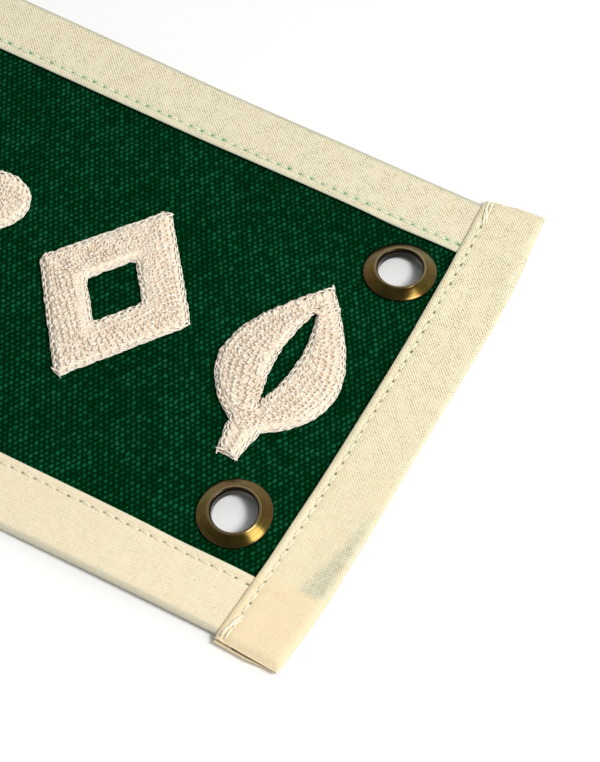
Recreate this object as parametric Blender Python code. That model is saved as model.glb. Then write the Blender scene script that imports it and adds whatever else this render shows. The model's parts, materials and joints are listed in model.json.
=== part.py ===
"""An embroidered canvas banner, 21 by 7 inches, lying face up on the plane z = 0.

Its length runs along X and its top edge is towards +Y.  A green field is bound on all four
sides with folded strips, carries seven raised figures of chain stitch, and has a brass eyelet
in each corner.  The stiff cloth arches a little between the bindings of its long edges, and
near its ends it is held up by the extra layers at the corners.
"""

import math

import bmesh
import bpy
from mathutils import Matrix, Vector

# Driving sizes, in metres.
LENGTH = 0.533
HEIGHT = 0.178
PLY = 0.001  # one layer of cloth
GAP = 0.0003  # between one piece and the next
BINDING = 0.022  # finished width of each folded strip
STEP = PLY + GAP

# How the cloth lies.
LEAN = math.radians(3.6)  # slope of the field at the eyelets
ARCH_FOOT = 0.065  # the arch begins this far from the middle line
ARCH_SHOULDER = 0.038  # and is straight from there to here
SLACK = 0.35  # share of the arch that is lost in the middle of the length
SETTLED = 0.135  # the cloth lies at its lowest within this distance of the middle
PROPPED = 0.205  # and is held up by the corners beyond this one
DRIFT = 0.0006  # how far the long edges stray
DRIFT_WAVE = 0.29
DRAW_FROM = 0.12  # beyond this distance the ends bulge in the middle of their height
END_BULGE = 0.0010  # at an end's outer edge
END_CORNER = 0.0038  # which is drawn in this much at its corners
END_SKEW = 0.0007  # and more so at the top than at the bottom
SEAM_BULGE = 0.0015  # at the inner edge of the end strip
SEAM_CORNER = 0.0033

# The folded strips.
FOLD_SEGMENTS = 5
LIFT_FROM = 0.0585  # the end strips climb onto the long strips between these two
LIFT_TO = 0.0645
OVERHANG_SEAM = 0.0015  # how far the end strips pass the long edges, at their seam
OVERHANG_TOP = 0.0050  # and at the outer corners
OVERHANG_BOTTOM = 0.0026

# The eyelets.
BORE = 0.00715
BARREL = 0.0079
FRONT_RADIUS = 0.01185
FRONT_RISE = 0.0025
BACK_RADIUS = 0.0113
BACK_THICK = 0.0008
EYELET_STEPS = 28
HOLE_STEPS = 28
EYELETS = {
    "left_top": {"x": -0.2290, "y": 0.0515},
    "left_bottom": {"x": -0.2305, "y": -0.0520},
    "right_top": {"x": 0.2307, "y": 0.0510},
    "right_bottom": {"x": 0.2272, "y": -0.0517},
}

# The embroidery.
FIGURE_HEIGHT = 0.071
FIGURE_SPACE = 0.0124
PAD_EDGE = 0.0009
PAD_FULL = 0.0018
PAD_SHOULDER = 0.0014
STAR_REACH = 0.0412  # from its centre to a point, before the points are rounded
STAR_WAIST = 0.46  # inner corners, as a share of the points' reach
STAR_ROUND = 0.0050
FLOWER_PETALS = 6
FLOWER_NOTCH = 0.36  # depth between petals, as a share of their reach
FLOWER_EYE = 0.0065
FLOWER_POINTS = 36
DIAMOND_WIDTH = 0.056
DIAMOND_HEIGHT = 0.0735
DIAMOND_STROKE = 0.0142
DIAMOND_ROUND = 0.0035
LEAF_WIDTH = 0.040
LEAF_BLADE = 0.062
LEAF_STALK = 0.0070
LEAF_RIB = 0.0065
LEAF_RIB_LENGTH = 0.040
LEAF_POINTS = 8

# Lines across the cloth where its height is set; the eyelets sit between the last two columns.
ROWS = (0.0, 0.013, 0.026, ARCH_SHOULDER, ARCH_FOOT)
COLUMNS = (0.0, 0.034, 0.067, 0.1, SETTLED, 0.15, 0.165, 0.18, 0.1925, PROPPED, 0.2155, 0.2445)
END_ROWS = (0.0, 0.013, 0.026, ARCH_SHOULDER, 0.05, LIFT_FROM, 0.0615, LIFT_TO, 0.0665, 0.078)


def ease(value, start, end):
    """0 before start, 1 after end, and a smooth rise between them."""
    t = min(max((value - start) / (end - start), 0.0), 1.0)
    return t * t * (3.0 - 2.0 * t)


def mirrored(values):
    """The values on both sides of zero, in rising order."""
    return [-v for v in reversed(values) if v > 0.0] + list(values)


def arch(y):
    """Height of the arch across the banner: straight under the eyelets, round in the middle."""
    slope = math.tan(LEAN)
    y = min(abs(y), ARCH_FOOT)
    if y > ARCH_SHOULDER:
        return slope * (ARCH_FOOT - y)
    rise = (ARCH_SHOULDER**2 - y**2) / (2.0 * ARCH_SHOULDER)
    return slope * (ARCH_FOOT - ARCH_SHOULDER + rise)


def under(x, y):
    """Height of the field's underside above the floor."""
    settled = 1.0 - ease(abs(x), SETTLED, PROPPED)
    return 2.0 * STEP - STEP * settled + arch(y) * (1.0 - SLACK * settled)


def draw_in(x, y):
    """Shift along the length: the ends bulge in the middle and are drawn in at the corners."""
    seam = LENGTH / 2.0 - BINDING
    t = min(max(y / (HEIGHT / 2.0), -1.0), 1.0)
    at_end = END_BULGE - END_CORNER * t**4 - END_SKEW * t**3
    at_seam = SEAM_BULGE - SEAM_CORNER * t**2
    share = min(max((abs(x) - seam) / BINDING, 0.0), 1.0)
    outward = at_seam + (at_end - at_seam) * share
    return outward * ease(abs(x), DRAW_FROM, seam) * math.copysign(1.0, x)


def drift(x, y):
    """Shift across the banner: the long edges stray a little from a straight line."""
    side = 0.4 if y > 0.0 else 2.1
    wave = math.sin(2.0 * math.pi * x / DRIFT_WAVE + side)
    return DRIFT * wave * ease(abs(y), ARCH_FOOT, HEIGHT / 2.0)


def lay(x, y, height):
    """The place of a point of the flat pattern, at a height above the field's underside."""
    return Vector((x + draw_in(x, y), y + drift(x, y), under(x, y) + height))


def material(name, colour, roughness, metallic=0.0):
    result = bpy.data.materials.new(name)
    result.use_nodes = True
    shader = result.node_tree.nodes["Principled BSDF"]
    shader.inputs["Base Color"].default_value = (*colour, 1.0)
    shader.inputs["Roughness"].default_value = roughness
    shader.inputs["Metallic"].default_value = metallic
    return result


def finish(name, bm, finish_material, smooth_degrees=None):
    """Turn a bmesh into an object of the scene."""
    bmesh.ops.recalc_face_normals(bm, faces=bm.faces)
    mesh = bpy.data.meshes.new(name)
    bm.to_mesh(mesh)
    bm.free()
    mesh.materials.append(finish_material)
    if smooth_degrees is not None:
        mesh.shade_smooth()
        mesh.set_sharp_from_angle(angle=math.radians(smooth_degrees))
    result = bpy.data.objects.new(name, mesh)
    bpy.context.collection.objects.link(result)
    return result


def closed_loop(bm, points):
    """Vertices at the points, and the edges that join them in a ring."""
    verts = [bm.verts.new(point) for point in points]
    edges = [bm.edges.new(pair) for pair in zip(verts, verts[1:] + verts[:1])]
    return verts, edges


def loft(name, sections, finish_material):
    """A closed skin over a row of closed sections, capped at both ends."""
    bm = bmesh.new()
    loops = [closed_loop(bm, section) for section in sections]
    for near, far in zip(loops, loops[1:]):
        bmesh.ops.bridge_loops(bm, edges=near[1] + far[1])
    for verts, _ in (loops[0], loops[-1]):
        bm.faces.new(verts)
    return finish(name, bm, finish_material, 35.0)


def field(cloth):
    """The ground cloth: its edges stop where the folds of the strips begin."""
    reach = LENGTH / 2.0 - fold_radius(STEP)
    top = HEIGHT / 2.0 - fold_radius(0.0)
    across = mirrored(ROWS + (top,))
    sections = []
    for x in mirrored(COLUMNS + (reach,)):
        lower = [lay(x, y, 0.0) for y in across]
        upper = [lay(x, y, PLY) for y in reversed(across)]
        sections.append(lower + upper)
    return loft("field", sections, cloth)


def fold_radius(lift):
    """Outer radius of a strip's fold, whose legs stand off the field by the gap and the lift."""
    return 1.5 * PLY + GAP + lift


def folded_section(lift):
    """The U of a folded strip as (distance from its inner edge, height) points.

    The two legs stand off the field by the gap and the lift, and meet in a round fold.
    """
    low = -GAP - lift
    high = PLY + GAP + lift
    outer = fold_radius(lift)
    inner = outer - PLY
    middle = (high + low) / 2.0
    centre = BINDING - outer
    turns = [math.pi * (0.5 - i / FOLD_SEGMENTS) for i in range(FOLD_SEGMENTS + 1)]
    points = [(0.0, high + PLY)]
    points += [(centre + outer * math.cos(a), middle + outer * math.sin(a)) for a in turns]
    points += [(0.0, low - PLY), (0.0, low)]
    points += [(centre + inner * math.cos(a), middle + inner * math.sin(a)) for a in reversed(turns)]
    points.append((0.0, high))
    return points


def long_binding(name, side, tape):
    """A strip folded round the top (side 1) or the bottom (side -1) edge."""
    reach = LENGTH / 2.0 - fold_radius(STEP)
    inner_edge = HEIGHT / 2.0 - BINDING
    sections = []
    for x in mirrored(COLUMNS + (reach,)):
        profile = folded_section(0.0)
        sections.append([lay(x, side * (inner_edge + out), height) for out, height in profile])
    return loft(name, sections, tape)


def end_binding(name, side, tape):
    """A strip folded round the right (side 1) or the left (side -1) end, over the long strips."""
    inner_edge = LENGTH / 2.0 - BINDING
    sections = []
    for y in mirrored(END_ROWS + (HEIGHT / 2.0,)):
        profile = folded_section(STEP * ease(abs(y), LIFT_FROM, LIFT_TO))
        row = []
        for out, height in profile:
            past = 0.0
            if abs(y) == HEIGHT / 2.0:
                corner = OVERHANG_TOP if y > 0.0 else OVERHANG_BOTTOM
                share = out / BINDING
                past = math.copysign(OVERHANG_SEAM + (corner - OVERHANG_SEAM) * share, y)
            row.append(lay(side * (inner_edge + out), y, height) + Vector((0.0, past, 0.0)))
        sections.append(row)
    return loft(name, sections, tape)


def seat(place):
    """The frame of an eyelet: its origin in the field's middle layer, its axis square to it."""
    x, y = place["x"], place["y"]
    lean = math.copysign(LEAN, y)
    return Matrix.Translation(lay(x, y, PLY / 2.0)) @ Matrix.Rotation(-lean, 4, "X")


def eyelet_hole(name, place):
    """A round cutter for the field."""
    bm = bmesh.new()
    bmesh.ops.create_cone(
        bm,
        cap_ends=True,
        segments=HOLE_STEPS,
        radius1=BARREL + GAP,
        radius2=BARREL + GAP,
        depth=8.0 * PLY,
    )
    cutter = finish(name + "_cutter", bm, bpy.data.materials["field"])
    cutter.matrix_world = seat(place)
    cutter.hide_render = True
    cutter.display_type = "WIRE"
    return cutter


def eyelet(name, place, brass):
    """A domed front flange, a barrel through the field and a flat back flange, in one piece."""
    face = PLY / 2.0 + GAP
    crest = face + FRONT_RISE
    back = -face - BACK_THICK
    bead = 0.0008
    profile = [
        (BORE, crest - 0.0009),
        (BORE + 0.2 * bead, crest - 0.0003),
        (BORE + bead, crest),
        (BORE + 2.6 * bead, crest - 0.0002),
        (FRONT_RADIUS - 0.0019, crest - 0.0008),
        (FRONT_RADIUS - 0.0006, crest - 0.0016),
        (FRONT_RADIUS, face + 0.0002),
        (FRONT_RADIUS - 0.0001, face),
        (BARREL, face),
        (BARREL, -face),
        (BACK_RADIUS - 0.0002, -face),
        (BACK_RADIUS, back + 0.0004),
        (BACK_RADIUS - 0.0003, back),
        (BORE + 0.0006, back),
        (BORE, back + 0.0005),
    ]
    bm = bmesh.new()
    verts, edges = closed_loop(bm, [(radius, 0.0, z) for radius, z in profile])
    bmesh.ops.spin(
        bm,
        geom=verts + edges,
        axis=(0.0, 0.0, 1.0),
        cent=(0.0, 0.0, 0.0),
        angle=2.0 * math.pi,
        steps=EYELET_STEPS,
        use_merge=True,
    )
    bmesh.ops.remove_doubles(bm, verts=bm.verts, dist=1e-6)
    result = finish(name, bm, brass, 40.0)
    result.matrix_world = seat(place)
    return result


def star_outline():
    """A five-pointed star with round points, centred on the middle of its height."""
    shift = -STAR_REACH * (1.0 - math.cos(math.pi / 5.0)) / 2.0
    points = []
    for i in range(10):
        reach = STAR_REACH if i % 2 == 0 else STAR_REACH * STAR_WAIST
        turn = math.pi * i / 5.0
        points.append((reach * math.sin(turn), shift + reach * math.cos(turn)))
    return [points], STAR_ROUND


def flower_outline():
    """Six broad petals round an open eye."""
    outer = []
    inner = []
    for i in range(FLOWER_POINTS):
        turn = 2.0 * math.pi * i / FLOWER_POINTS
        fullness = abs(math.cos(turn * FLOWER_PETALS / 2.0)) ** 0.7
        reach = FIGURE_HEIGHT / 2.0 * (1.0 - FLOWER_NOTCH * (1.0 - fullness))
        outer.append((reach * math.sin(turn), reach * math.cos(turn)))
        inner.append((FLOWER_EYE * math.sin(turn), FLOWER_EYE * math.cos(turn)))
    return [outer, inner], 0.0


def diamond_outline():
    """An open diamond whose four strokes have one width."""
    half_width, half_height = DIAMOND_WIDTH / 2.0, DIAMOND_HEIGHT / 2.0
    depth = half_width * half_height / math.hypot(half_width, half_height)
    share = 1.0 - DIAMOND_STROKE / depth
    outer = [(0.0, half_height), (half_width, 0.0), (0.0, -half_height), (-half_width, 0.0)]
    return [outer, [(x * share, y * share) for x, y in outer]], DIAMOND_ROUND


def leaf_outline():
    """An upright leaf on a short stalk, widest below its middle and parted along its rib."""
    high = FIGURE_HEIGHT / 2.0
    low = high - LEAF_BLADE
    right = []
    rib = []
    for i in range(1, LEAF_POINTS):
        t = i / LEAF_POINTS
        half = LEAF_WIDTH / 2.0 * math.sin(math.pi * t**0.75)
        right.append((half, low + LEAF_BLADE * t))
        rib.append((LEAF_RIB / 2.0 * math.sin(math.pi * t), LEAF_RIB_LENGTH * (t - 0.5)))
    left = [(-x, y) for x, y in reversed(right)]
    stalk = [(-LEAF_STALK / 2.0, -high), (LEAF_STALK / 2.0, -high)]
    rib_low, rib_high = (0.0, -LEAF_RIB_LENGTH / 2.0), (0.0, LEAF_RIB_LENGTH / 2.0)
    opening = [rib_low] + rib + [rib_high] + [(-x, y) for x, y in reversed(rib)]
    middle = low + LEAF_BLADE / 2.0
    return [right + [(0.0, high)] + left + stalk, [(x, y + middle) for x, y in opening]], 0.0


FIGURES = {
    "star": {"outline": star_outline, "width": 1.80 * STAR_REACH},
    "flower": {"outline": flower_outline, "width": 0.91 * FIGURE_HEIGHT},
    "diamond": {"outline": diamond_outline, "width": DIAMOND_WIDTH},
    "leaf": {"outline": leaf_outline, "width": LEAF_WIDTH},
}


def rounded(points, radius):
    """The outline with each corner replaced by a short curve of three points."""
    corners = [Vector(point) for point in points]
    result = []
    for before, corner, after in zip(corners[-1:] + corners[:-1], corners, corners[1:] + corners[:1]):
        start = corner + (before - corner).normalized() * radius
        end = corner + (after - corner).normalized() * radius
        result += [start, (start + corner * 2.0 + end) / 4.0, end]
    return result


def figure(name, kind, centre, yarn):
    """A raised pad of embroidery: a steep edge, a narrow shoulder and a level top."""
    outlines, corner_radius = FIGURES[kind]["outline"]()
    bm = bmesh.new()
    for points in outlines:
        if corner_radius > 0.0:
            points = rounded(points, corner_radius)
        closed_loop(bm, [(centre + x, y, 0.0) for x, y in points])
    bmesh.ops.triangle_fill(bm, edges=bm.edges, use_beauty=True)
    raised = bmesh.ops.extrude_face_region(bm, geom=bm.faces[:])["geom"]
    top = [item for item in raised if isinstance(item, bmesh.types.BMFace)]
    for vert in {vert for face in top for vert in face.verts}:
        vert.co.z = PAD_EDGE
    bmesh.ops.inset_region(
        bm, faces=top, thickness=PAD_SHOULDER, use_boundary=True, use_even_offset=True
    )
    for vert in {vert for face in top for vert in face.verts}:
        vert.co.z = PAD_FULL
    cuts = [((0.0, y, 0.0), (0.0, 1.0, 0.0)) for y in mirrored(ROWS)]
    cuts += [((x, 0.0, 0.0), (1.0, 0.0, 0.0)) for x in mirrored(COLUMNS)]
    for place, normal in cuts:
        everything = bm.verts[:] + bm.edges[:] + bm.faces[:]
        bmesh.ops.bisect_plane(bm, geom=everything, plane_co=place, plane_no=normal, dist=1e-6)
    for vert in bm.verts:
        vert.co = lay(vert.co.x, vert.co.y, PLY + GAP + vert.co.z)
    return finish(name, bm, yarn, 35.0)


def figures(yarn):
    """The row of figures: a star in the middle, and the rest in pairs to both sides."""
    figure("motif_star", "star", 0.0, yarn)
    edge = FIGURES["star"]["width"] / 2.0
    for kind in ("flower", "diamond", "leaf"):
        width = FIGURES[kind]["width"]
        centre = edge + FIGURE_SPACE + width / 2.0
        figure(f"motif_{kind}_left", kind, -centre, yarn)
        figure(f"motif_{kind}_right", kind, centre, yarn)
        edge = centre + width / 2.0


def build():
    for item in list(bpy.data.objects):
        bpy.data.objects.remove(item, do_unlink=True)
    duck = material("field", (0.004, 0.115, 0.045), 0.85)
    tape = material("binding", (0.80, 0.72, 0.52), 0.85)
    yarn = material("embroidery", (0.80, 0.71, 0.56), 0.75)
    brass = material("eyelet", (0.30, 0.21, 0.085), 0.35, 0.95)
    ground = field(duck)
    for name, place in EYELETS.items():
        hole = ground.modifiers.new("hole_" + name, "BOOLEAN")
        hole.operation = "DIFFERENCE"
        hole.solver = "EXACT"
        hole.object = eyelet_hole("eyelet_" + name, place)
        eyelet("eyelet_" + name, place, brass)
    long_binding("binding_top", 1.0, tape)
    long_binding("binding_bottom", -1.0, tape)
    end_binding("binding_right", 1.0, tape)
    end_binding("binding_left", -1.0, tape)
    figures(yarn)


build()
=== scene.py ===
"""The looks of an embroidered canvas banner that lies face up on a pale floor.

Every point of the flat patterns goes through lay(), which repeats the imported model's arch,
drawn-in ends and straying edges, and leans the cloth with its eyelets.
"""

import json
import random
from math import atan2, copysign, cos, hypot, pi, radians, sin, tan

import bmesh
import bpy
from mathutils import Euler, Matrix, Quaternion, Vector

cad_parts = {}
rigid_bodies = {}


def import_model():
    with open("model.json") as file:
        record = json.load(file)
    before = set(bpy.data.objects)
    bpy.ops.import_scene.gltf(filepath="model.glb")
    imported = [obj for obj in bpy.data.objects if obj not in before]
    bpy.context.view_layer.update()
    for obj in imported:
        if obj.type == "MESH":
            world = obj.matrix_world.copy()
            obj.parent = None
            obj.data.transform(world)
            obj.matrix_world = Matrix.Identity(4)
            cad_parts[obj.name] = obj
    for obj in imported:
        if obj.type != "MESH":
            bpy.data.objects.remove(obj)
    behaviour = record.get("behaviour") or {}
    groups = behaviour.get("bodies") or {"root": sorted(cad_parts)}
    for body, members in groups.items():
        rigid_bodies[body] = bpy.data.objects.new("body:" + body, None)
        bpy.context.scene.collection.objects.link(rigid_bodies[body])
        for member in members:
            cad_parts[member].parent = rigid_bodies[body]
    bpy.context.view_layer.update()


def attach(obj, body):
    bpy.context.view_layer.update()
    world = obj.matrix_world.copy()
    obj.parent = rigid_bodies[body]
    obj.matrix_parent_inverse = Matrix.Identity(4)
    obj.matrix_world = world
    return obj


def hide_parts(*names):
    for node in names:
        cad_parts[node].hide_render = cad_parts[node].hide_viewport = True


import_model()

MM = 0.001

# The banner, mostly as its solids have it.
LENGTH = 0.533
HEIGHT = 0.178
PLY = 0.001  # the ground cloth
BINDING = 0.022
STEP = 0.0013
LEAN = radians(3.6)
ARCH_FOOT = 0.065
ARCH_SHOULDER = 0.038
SLACK = 0.35
SETTLED = 0.135
PROPPED = 0.205
DRIFT = 0.0006
DRIFT_WAVE = 0.29
DRAW_FROM = 0.12
END_BULGE = 0.0010
END_CORNER = 0.0038
END_SKEW = 0.0007
SEAM_BULGE = 0.0015
SEAM_CORNER = 0.0033
LIFT_FROM = 0.0585
FRONT_LIFTED = 0.0675
BACK_LIFTED = 0.0645
OVERHANG_SEAM = 0.0015
OVERHANG_TOP = 0.0050
OVERHANG_BOTTOM = 0.0026
OVERHANG_FROM = 9.0 * MM  # from the ends of an end strip
END_CROWN = 0.0008  # bulge of the cut end at the top
FIELD_REACH = LENGTH / 2 - 3.1 * MM
FIELD_TOP = HEIGHT / 2 - 1.8 * MM

# The weaves.
DUCK_X = 0.96 * MM
DUCK_Y = 1.62 * MM
TAPE_PITCH = 0.56 * MM

# The tape that binds the edges.
TAPE = 0.30 * MM
TAPE_FLAT = 0.52 * MM  # outer face above the ground cloth, where a single ply lies on it
HEM = 6.0 * MM  # turned under along both long edges of the tape
HEM_RISE = 0.16 * MM
HEM_END = 9.0 * MM
RIDGE_AT = 1.45 * MM
RIDGE_RISE = 0.16 * MM
END_RIDGE_RISE = 0.40 * MM  # the end strips are puffier beside their seam
SEAM_AT = 3.1 * MM
SEAM_DIP = 0.16 * MM
STITCH = 4.2 * MM
STITCH_COLUMNS = 4
HOLE_DIP = 0.14 * MM
END_CLOSE = 1.5 * MM  # how far the front leg of an end strip sinks at its open ends
END_RISE = 2.0 * MM  # how far the back leg rises there
BACK_SHOWS = 0.9 * MM  # how far the back leg stands out there, beside the seam
STITCH_GAP = 0.42 * MM  # from a stitch to its hole
THREAD, END_THREAD = 0.44 * MM, 0.60 * MM  # the long strips' and the end strips'
SLANT, END_SLANT = 0.08 * MM, 0.30 * MM
LOCK_STITCHES = (  # in mm: distance from the end and from the seam at both ends, thickness, lift
    (0.7, 0.1, 4.2, 0.25, 0.70, 0.25),
    (0.9, -1.3, 4.0, -1.0, 0.60, 0.25),
    (3.0, -1.5, 7.2, 1.2, 0.75, 0.25),
    (4.4, -1.2, 8.4, 0.7, 0.62, 0.25),
    (3.8, 0.5, 8.0, -0.1, 0.60, 0.0),
)

# The eyelets.
BORE = 0.00715
BARREL = 0.0079
RIM = 0.01185
CREST = 0.0022  # above the ground cloth's face
BACK_RIM = 0.0110
BACK_FLANGE = 0.8 * MM
FLANGE = (  # in mm: distance out from the bore, and drop from the crest
    (0.0, 1.30), (0.03, 0.85), (0.14, 0.55), (0.32, 0.28), (0.56, 0.09), (0.84, 0.0), (1.08, 0.05),
    (1.28, 0.16), (1.46, 0.27), (1.70, 0.37), (2.10, 0.58), (2.60, 0.845), (3.10, 1.12), (3.60, 1.40),
    (4.05, 1.66), (4.45, 1.90),
)
EYELET_TILT = radians(3.5)  # towards the middle of the banner
TILTED = 12.5 * MM  # the cloth leans with an eyelet up to here from its centre
LEVEL = 27.0 * MM  # and no longer does so from here on
EYELETS = {
    "left_top": (-0.2290, 0.0515),
    "left_bottom": (-0.2305, -0.0520),
    "right_top": (0.2310, 0.0514),
    "right_bottom": (0.2275, -0.0512),
}

# The embroidery.
FIGURE_HEIGHT = 0.071
FIGURE_SPACE = 0.0124
STAR_REACH = 0.0412
STAR_WAIST = 0.46
STAR_ROUND = 0.0050
FLOWER_PETALS = 6
FLOWER_NOTCH = 0.36
FLOWER_EYE = 0.0065
FLOWER_POINTS = 72
DIAMOND_WIDTH = 0.056
DIAMOND_HEIGHT = 0.0735
DIAMOND_STROKE = 0.0142
DIAMOND_ROUND = 0.0035
LEAF_WIDTH = 0.040
LEAF_BLADE = 0.062
LEAF_STALK = 0.0070
LEAF_RIB = 0.0065
LEAF_RIB_LENGTH = 0.040
LEAF_POINTS = 24
CHAIN_ROWS = (  # distance from the edge, height, length and width of a link
    (0.38 * MM, 1.34 * MM, 4.8 * MM, 0.95 * MM),
    (1.15 * MM, 1.62 * MM, 4.1 * MM, 1.85 * MM),
    (2.40 * MM, 2.12 * MM, 4.1 * MM, 1.85 * MM),
)
CHAIN_SPACING = 2.9 * MM
ROUND = 6.3  # about one full turn, for the waves in which the links of an outline roll
FILL_MARGIN = 2.7 * MM
FILL_STEP = 1.50 * MM
FILL_SPACING = 2.2 * MM
FILL_LENGTH = 4.2 * MM
FILL_WIDTH = 2.05 * MM
FILL_HEIGHT = 2.44 * MM
FILL_BULGE = 0.55
YARN = 0.58 * MM
PAD_MARGIN = 0.90 * MM
PAD_SHOULDER = 1.4 * MM
PAD_LOW = 1.16 * MM
PAD_TOP = 2.36 * MM
PAD_CUTS = 0.032  # how far up and down a pad is cut across, to follow the arch


# ---- where the cloth lies


def ease(value, start, end):
    """0 before start, 1 after end, and a smooth rise between them."""
    t = min(max((value - start) / (end - start), 0.0), 1.0)
    return t * t * (3.0 - 2.0 * t)


def hump(value, centre, reach):
    """1 at the centre, falling smoothly to 0 at that reach on both sides."""
    return 1.0 - ease(abs(value - centre), 0.0, reach)


def arch(y):
    slope = tan(LEAN)
    y = min(abs(y), ARCH_FOOT)
    if y > ARCH_SHOULDER:
        return slope * (ARCH_FOOT - y)
    rise = (ARCH_SHOULDER**2 - y**2) / (2.0 * ARCH_SHOULDER)
    return slope * (ARCH_FOOT - ARCH_SHOULDER + rise)


def under(x, y):
    """Height of the ground cloth's underside above the floor, away from the eyelets."""
    settled = 1.0 - ease(abs(x), SETTLED, PROPPED)
    return 2.0 * STEP - STEP * settled + arch(y) * (1.0 - SLACK * settled)


def draw_in(x, y):
    seam = LENGTH / 2.0 - BINDING
    t = min(max(y / (HEIGHT / 2.0), -1.0), 1.0)
    at_end = END_BULGE - END_CORNER * t**4 - END_SKEW * t**3
    at_seam = SEAM_BULGE - SEAM_CORNER * t**2
    share = min(max((abs(x) - seam) / BINDING, 0.0), 1.0)
    outward = at_seam + (at_end - at_seam) * share
    return outward * ease(abs(x), DRAW_FROM, seam) * copysign(1.0, x)


def drift(x, y):
    side = 0.4 if y > 0.0 else 2.1
    wave = sin(2.0 * pi * x / DRIFT_WAVE + side)
    return DRIFT * wave * ease(abs(y), ARCH_FOOT, HEIGHT / 2.0)


def eyelet_rise(x, y):
    """What the cloth gains or loses in height round the eyelets, which lean with it."""
    rise = 0.0
    for at_x, at_y in EYELETS.values():
        near = 1.0 - ease(hypot(x - at_x, y - at_y), TILTED, LEVEL)
        rise += near * (x - at_x) * copysign(tan(EYELET_TILT), at_x)
    return rise


def lay(x, y, height):
    """The place of a point of the flat pattern, at a height above the ground cloth's underside."""
    height += under(x, y) + eyelet_rise(x, y)
    return Vector((x + draw_in(x, y), y + drift(x, y), height))


def surface_frame(x, y, height):
    """A matrix whose origin lies on the cloth and whose Z axis is square to it."""
    step = 0.5 * MM
    along = (lay(x + step, y, height) - lay(x - step, y, height)).normalized()
    across = (lay(x, y + step, height) - lay(x, y - step, height)).normalized()
    up = along.cross(across).normalized()
    across = up.cross(along)
    turn = Matrix((along, across, up)).transposed().to_4x4()
    return Matrix.Translation(lay(x, y, height)) @ turn


# ---- materials


def operator(name, swapped=False):
    """A method that adds a Math node for a value and something else."""

    def apply(self, other):
        pair = (other, self) if swapped else (self, other)
        return self.nodes.math(name, *pair)

    return apply


class Value:
    """An output of a node. Arithmetic on it adds Math nodes."""

    def __init__(self, nodes, socket):
        self.nodes = nodes
        self.socket = socket

    __add__, __radd__ = operator("ADD"), operator("ADD", True)
    __sub__, __rsub__ = operator("SUBTRACT"), operator("SUBTRACT", True)
    __mul__, __rmul__ = operator("MULTIPLY"), operator("MULTIPLY", True)
    __truediv__ = operator("DIVIDE")


class Nodes:
    """The nodes of one tree."""

    def __init__(self, tree):
        self.tree = tree

    def add(self, kind, settings=None, inputs=None, output=0):
        """A node with its settings, then its sockets' values or links; gives one of its outputs."""
        node = self.tree.nodes.new(kind)
        for key, value in (settings or {}).items():
            setattr(node, key, value)
        for key, value in (inputs or {}).items():
            if isinstance(value, Value):
                self.tree.links.new(value.socket, node.inputs[key])
            else:
                node.inputs[key].default_value = value
        return Value(self, node.outputs[output])

    def math(self, operation, *values):
        return self.add("ShaderNodeMath", {"operation": operation}, dict(enumerate(values)))


def smooth(value, low, high):
    """0 at low, 1 at high, with a smooth step between."""
    inputs = {"Value": value, "From Min": low, "From Max": high}
    return value.nodes.add("ShaderNodeMapRange", {"interpolation_type": "SMOOTHSTEP"}, inputs)


def mix(share, first, second):
    inputs = {0: share, 6: first, 7: second}
    return share.nodes.add("ShaderNodeMix", {"data_type": "RGBA"}, inputs, 2)


def noise(place, scale, detail=2.0, roughness=0.5):
    inputs = {"Vector": place, "Scale": scale, "Detail": detail, "Roughness": roughness}
    return place.nodes.add("ShaderNodeTexNoise", None, inputs)


def stretched(place, x, y):
    """The place with its axes scaled, for noise that runs along a thread."""
    inputs = {0: place, 1: (x, y, 1.0)}
    return place.nodes.add("ShaderNodeVectorMath", {"operation": "MULTIPLY"}, inputs)


class Finish(Nodes):
    """The nodes of one material, around its Principled BSDF."""

    def __init__(self, name, **constants):
        self.material = bpy.data.materials.new(name)
        self.material.use_nodes = True
        super().__init__(self.material.node_tree)
        self.shader = self.tree.nodes["Principled BSDF"]
        for socket, value in constants.items():
            self.shader.inputs[socket.replace("_", " ")].default_value = value

    def split(self, place):
        node = self.tree.nodes.new("ShaderNodeSeparateXYZ")
        self.tree.links.new(place.socket, node.inputs[0])
        return [Value(self, socket) for socket in node.outputs]

    def joined(self, x, y, z=0.0):
        return self.add("ShaderNodeCombineXYZ", None, {0: x, 1: y, 2: z})

    def tint(self, share, shade):
        """Mixes this much of a shade into the finish's colour so far."""
        self.colour = mix(share, self.colour, shade)

    def flat(self):
        """The piece's flat pattern, in metres, as its UV map holds it."""
        return self.add("ShaderNodeUVMap", {"uv_map": "flat"})

    def objects(self):
        return self.add("ShaderNodeTexCoord", None, None, 3)

    def bump(self, height, distance, strength=1.0):
        inputs = {"Height": height, "Distance": distance, "Strength": strength}
        return self.add("ShaderNodeBump", None, inputs)

    def feed(self, **sockets):
        for socket, value in sockets.items():
            self.tree.links.new(value.socket, self.shader.inputs[socket.replace("_", " ")])
        return self.material


def rgb(red, green, blue):
    return (red, green, blue, 1.0)


def threads(finish, place, pitch_x, pitch_y, stray):
    """A weave: thread positions across both axes, each a little out of line."""
    x, y, _ = finish.split(place)
    wander = noise(place, 260.0, 1.0)
    across = (x + (wander - 0.5) * stray) / pitch_x
    wander = noise(place, 230.0, 1.0)
    along = (y + (wander - 0.5) * stray) / pitch_y
    return across, along


def floats(finish, across, along, wide, high):
    """The float nearest to a point: its distance in metres, and a random number of its own.

    A height below the pitch draws the floats out along their thread.
    """
    first = (across + along) * 0.5
    second = (across - along) * 0.5
    near = finish.math("ROUND", first), finish.math("ROUND", second)
    first, second = first - near[0], second - near[1]
    x = (first + second) * wide
    y = (first - second) * high
    spot = finish.joined(*near)
    chance = finish.add("ShaderNodeTexWhiteNoise", {"noise_dimensions": "2D"}, {"Vector": spot})
    return finish.math("SQRT", x * x + y * y), chance


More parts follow.
